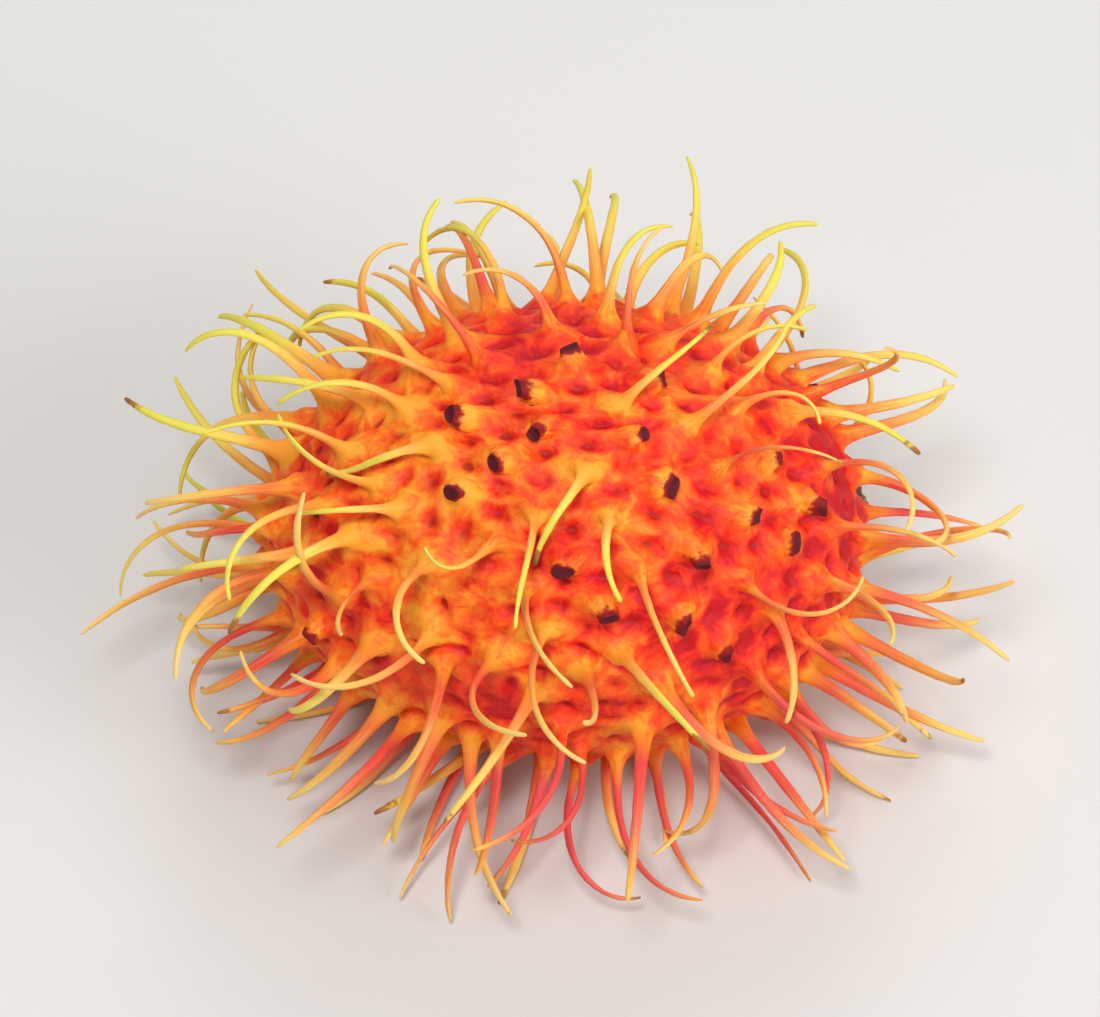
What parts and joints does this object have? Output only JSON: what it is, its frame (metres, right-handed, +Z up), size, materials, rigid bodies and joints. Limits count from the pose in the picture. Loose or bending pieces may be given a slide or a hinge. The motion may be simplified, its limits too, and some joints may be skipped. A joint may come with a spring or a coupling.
{
  "type": "rambutan",
  "caption": "Ripe rambutan fruit lying on its side: oval leathery rind covered in soft curved spinterns, with a short woody stalk stub, resting on a small flat spot.",
  "frame": {"origin": "in the plane of the surface the fruit rests on, under the middle of the whole model", "axes": "+X along the fruit's long axis towards its stem end, +Y towards its back, +Z up from the resting surface"},
  "size_m": [0.0754, 0.0636, 0.0379],
  "materials": {
    "rind": "waxy orange-red rind, satin, with spinterns that turn from red at the root through orange to yellow at the tip, and brown worn ends",
    "stem": "dry grey-brown bark, matt, with a paler broken end"
  },
  "bodies": {
    "root": {"fruit": "rind", "stem_stub": "stem"}
  },
  "joints": []
}
